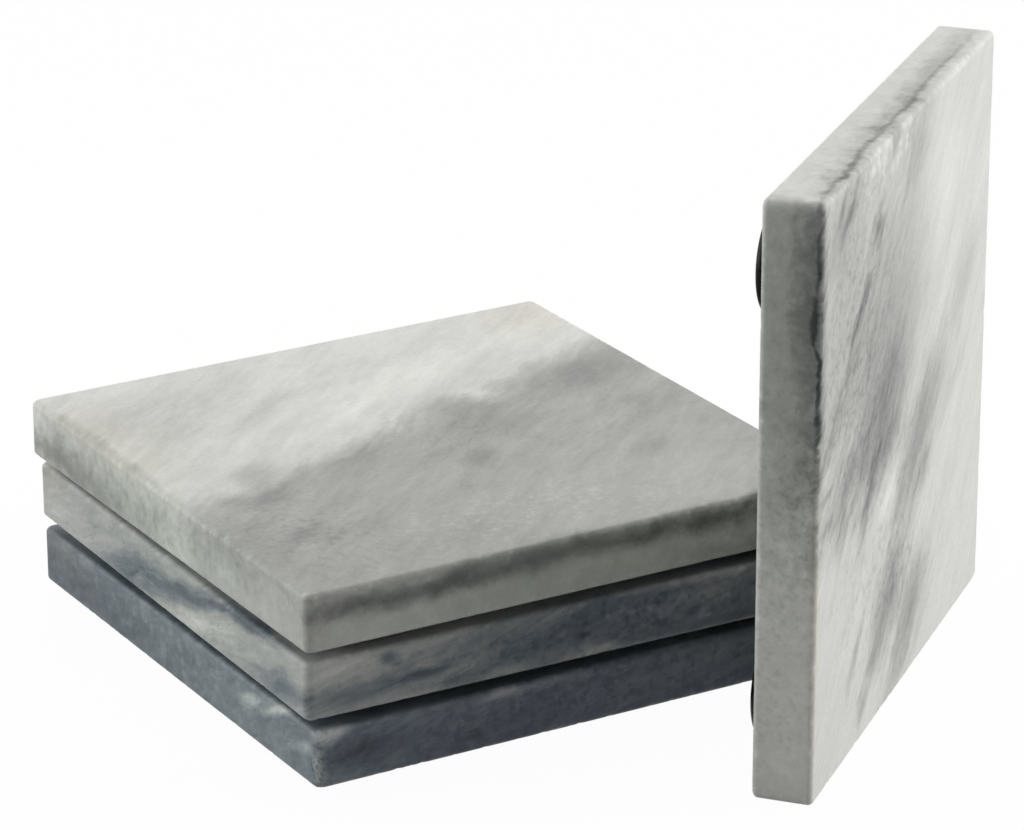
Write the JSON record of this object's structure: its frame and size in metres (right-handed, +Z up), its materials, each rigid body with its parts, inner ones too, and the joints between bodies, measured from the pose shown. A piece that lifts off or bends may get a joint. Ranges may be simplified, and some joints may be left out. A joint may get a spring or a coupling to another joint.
{
  "type": "drink coaster set",
  "caption": "Square marble drink coasters on domed black rubber feet, a stack with one more coaster standing on its edge beside it.",
  "frame": {"origin": "the middle of the set's footprint, on the table top", "axes": "+Z up out of the drinking face of the coasters that lie flat; +X along their front side, to the right; +Y to their back; the standing coaster is at the front right"},
  "size_m": [0.1462, 0.1404, 0.1],
  "materials": {
    "dark_marble": "satin",
    "veined_marble": "satin",
    "grey_marble": "satin",
    "pale_marble": "satin",
    "foot_rubber": "gloss",
    "foot_adhesive": "satin"
  },
  "bodies": {
    "bottom_coaster": {"bottom_slab": "dark_marble", "bottom_foot_front_left": "foot_rubber", "bottom_foot_front_right": "foot_rubber", "bottom_foot_back_left": "foot_rubber", "bottom_foot_back_right": "foot_rubber", "bottom_film_front_left": "foot_adhesive", "bottom_film_front_right": "foot_adhesive", "bottom_film_back_left": "foot_adhesive", "bottom_film_back_right": "foot_adhesive"},
    "middle_coaster": {"middle_slab": "veined_marble", "middle_foot_front_left": "foot_rubber", "middle_foot_front_right": "foot_rubber", "middle_foot_back_left": "foot_rubber", "middle_foot_back_right": "foot_rubber", "middle_film_front_left": "foot_adhesive", "middle_film_front_right": "foot_adhesive", "middle_film_back_left": "foot_adhesive", "middle_film_back_right": "foot_adhesive"},
    "top_coaster": {"top_slab": "grey_marble", "top_foot_front_left": "foot_rubber", "top_foot_front_right": "foot_rubber", "top_foot_back_left": "foot_rubber", "top_foot_back_right": "foot_rubber", "top_film_front_left": "foot_adhesive", "top_film_front_right": "foot_adhesive", "top_film_back_left": "foot_adhesive", "top_film_back_right": "foot_adhesive"},
    "standing_coaster": {"standing_slab": "pale_marble", "standing_foot_lower_near": "foot_rubber", "standing_foot_lower_far": "foot_rubber", "standing_foot_upper_near": "foot_rubber", "standing_foot_upper_far": "foot_rubber", "standing_film_lower_near": "foot_adhesive", "standing_film_lower_far": "foot_adhesive", "standing_film_upper_near": "foot_adhesive", "standing_film_upper_far": "foot_adhesive"}
  },
  "joints": [
    {"name": "lift_middle", "type": "slide", "parent": "bottom_coaster", "child": "middle_coaster", "axis": [0, 0, 1], "range_m": [0, 0.1]},
    {"name": "lift_top", "type": "slide", "parent": "middle_coaster", "child": "top_coaster", "axis": [0, 0, 1], "range_m": [0, 0.1]},
    {"name": "lift_standing", "type": "slide", "parent": "bottom_coaster", "child": "standing_coaster", "axis": [0, 0, 1], "range_m": [0, 0.1]}
  ]
}
